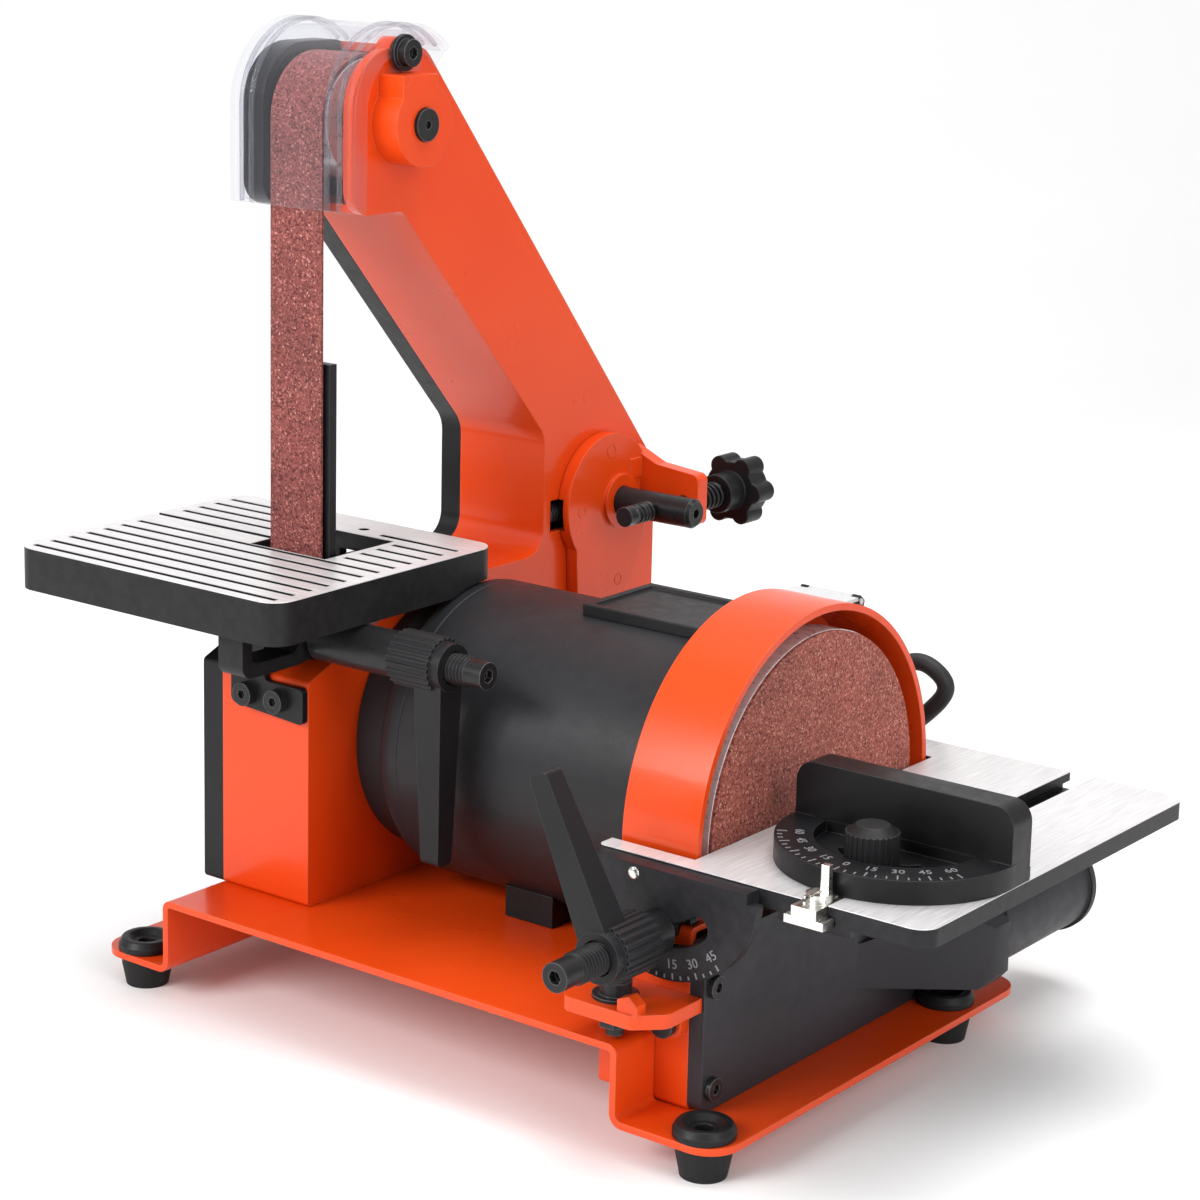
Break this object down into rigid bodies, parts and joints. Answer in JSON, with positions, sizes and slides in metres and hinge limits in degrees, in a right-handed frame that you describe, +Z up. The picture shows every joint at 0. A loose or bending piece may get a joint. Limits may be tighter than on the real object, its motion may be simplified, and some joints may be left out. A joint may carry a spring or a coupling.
{
  "type": "belt disc sander",
  "caption": "Bench sander with an upright abrasive belt and a round sanding disc, each with a tilting table, on a bent sheet base with rubber feet.",
  "frame": {"origin": "centre of the rectangle of the feet, on the bench surface", "axes": "+X along the motor axis towards the sanding disc, -Y to the front where the operator stands and the belt's working run faces, +Z up"},
  "size_m": [0.3794, 0.306, 0.3628],
  "materials": {
    "orange_paint": "glossy",
    "black_rubber": "matte",
    "black_plastic": "satin",
    "dark_plastic": "satin",
    "clear_plastic": "clear",
    "black_steel": "satin",
    "dark_paint": "fine texture",
    "aluminium": "machined",
    "table_aluminium": "brushed",
    "table_steel": "brushed",
    "bearing_steel": "polished",
    "lamination_steel": "satin",
    "copper": "enamelled",
    "zinc": "zinc plated",
    "abrasive": "coarse grit"
  },
  "bodies": {
    "frame": {"base_plate": "orange_paint", "rubber_feet": "black_rubber", "foot_grommets": "black_plastic", "belt_housing": "orange_paint", "side_cover": "black_plastic", "housing_screws": "black_steel", "upper_axle": "black_steel", "sanding_belt": "abrasive", "platen": "black_steel", "platen_screws": "black_steel", "tension_pivot_bolt": "black_steel", "tension_spring": "black_steel", "belt_guard": "clear_plastic", "guard_screw": "black_steel", "table_bracket": "black_steel", "bracket_screws": "black_steel", "belt_table_shaft": "black_steel", "motor_housing": "dark_paint", "motor_end_cover": "dark_paint", "stator": "lamination_steel", "stator_windings": "copper", "motor_bearings": "bearing_steel", "motor_foot": "black_plastic", "label_plate": "black_plastic", "switch_box": "black_plastic", "capacitor": "black_plastic", "power_cord": "black_rubber", "disc_housing": "orange_paint", "disc_cover": "dark_plastic", "disc_cover_screws": "black_steel", "dust_port": "dark_plastic", "table_support": "orange_paint", "tilt_stop_bolt": "black_steel", "disc_table_shaft": "black_steel"},
    "drive": {"motor_shaft": "bearing_steel", "rotor": "lamination_steel", "motor_fan": "black_plastic", "drive_wheel": "aluminium", "drive_wheel_screw": "black_steel", "disc_plate": "aluminium", "disc_plate_screw": "black_steel", "abrasive_disc": "abrasive"},
    "upper_pulley": {"upper_wheel": "aluminium", "upper_wheel_bearings": "bearing_steel"},
    "tensioner": {"tension_arm": "orange_paint", "idler_shaft": "black_steel", "tracking_counter_screw": "black_steel", "tracking_spring": "black_steel"},
    "idler_pulley": {"idler_wheel": "aluminium", "idler_bearings": "bearing_steel"},
    "tracking_adjuster": {"tracking_knob": "black_plastic"},
    "belt_work_table": {"belt_table": "table_aluminium"},
    "belt_table_clamp": {"belt_table_lever": "black_plastic"},
    "disc_work_table": {"disc_table": "table_steel"},
    "disc_table_clamp": {"disc_table_lever": "black_plastic"},
    "mitre_slide": {"mitre_bar": "zinc"},
    "mitre_protractor": {"mitre_head": "black_plastic"},
    "mitre_lock": {"mitre_knob": "black_plastic"},
    "switch_rocker": {"rocker_switch": "black_plastic"},
    "flap": {"switch_flap": "clear_plastic"}
  },
  "joints": [
    {"name": "drive_spin", "type": "hinge", "parent": "frame", "child": "drive", "pos_m": [0, 0.018, 0.0975], "axis": [1, 0, 0], "continuous": true},
    {"name": "upper_wheel_spin", "type": "hinge", "parent": "frame", "child": "upper_pulley", "pos_m": [-0.0925, -0.01, 0.327], "axis": [1, 0, 0], "continuous": true},
    {"name": "belt_tension", "type": "hinge", "parent": "frame", "child": "tensioner", "pos_m": [-0.0608, 0.104, 0.11], "axis": [1, 0, 0], "range_deg": [0, 7]},
    {"name": "idler_wheel_spin", "type": "hinge", "parent": "tensioner", "child": "idler_pulley", "pos_m": [-0.0925, 0.122, 0.166], "axis": [1, 0, 0], "continuous": true},
    {"name": "tracking_knob_turn", "type": "hinge", "parent": "tensioner", "child": "tracking_adjuster", "pos_m": [-0.036, 0.16, 0.166], "axis": [0, 1, 0], "range_deg": [-360, 360]},
    {"name": "belt_table_tilt", "type": "hinge", "parent": "frame", "child": "belt_work_table", "pos_m": [-0.073, -0.05, 0.142], "axis": [1, 0, 0], "range_deg": [0, 30]},
    {"name": "belt_table_clamp_turn", "type": "hinge", "parent": "frame", "child": "belt_table_clamp", "pos_m": [-0.015, -0.05, 0.142], "axis": [1, 0, 0], "range_deg": [-100, 5]},
    {"name": "disc_table_tilt", "type": "hinge", "parent": "frame", "child": "disc_work_table", "pos_m": [0.108, 0, 0.097], "axis": [0, 1, 0], "range_deg": [0, 45]},
    {"name": "disc_table_clamp_turn", "type": "hinge", "parent": "frame", "child": "disc_table_clamp", "pos_m": [0.105, -0.096, 0.077], "axis": [0, 1, 0], "range_deg": [-60, 60]},
    {"name": "mitre_travel", "type": "slide", "parent": "disc_work_table", "child": "mitre_slide", "axis": [0, 1, 0], "range_m": [-0.03, 0.08]},
    {"name": "mitre_swivel", "type": "hinge", "parent": "mitre_slide", "child": "mitre_protractor", "pos_m": [0.1616, -0.014, 0.1027], "axis": [0, 0, 1], "range_deg": [-45, 45]},
    {"name": "mitre_knob_turn", "type": "hinge", "parent": "mitre_slide", "child": "mitre_lock", "pos_m": [0.1616, -0.032, 0.108], "axis": [0, 0, 1], "range_deg": [0, 180]},
    {"name": "switch_rock", "type": "hinge", "parent": "frame", "child": "switch_rocker", "pos_m": [0.06, 0.0865, 0.138], "axis": [1, 0, 0], "range_deg": [0, 8]},
    {"name": "flap_hinge", "type": "hinge", "parent": "frame", "child": "flap", "pos_m": [0.06, 0.098, 0.151], "axis": [1, 0, 0], "range_deg": [-100, 0]}
  ],
  "couplings": [
    {"joint": "upper_wheel_spin", "follows": "drive_spin", "ratio": 2.2174},
    {"joint": "idler_wheel_spin", "follows": "drive_spin", "ratio": 2.8333}
  ]
}
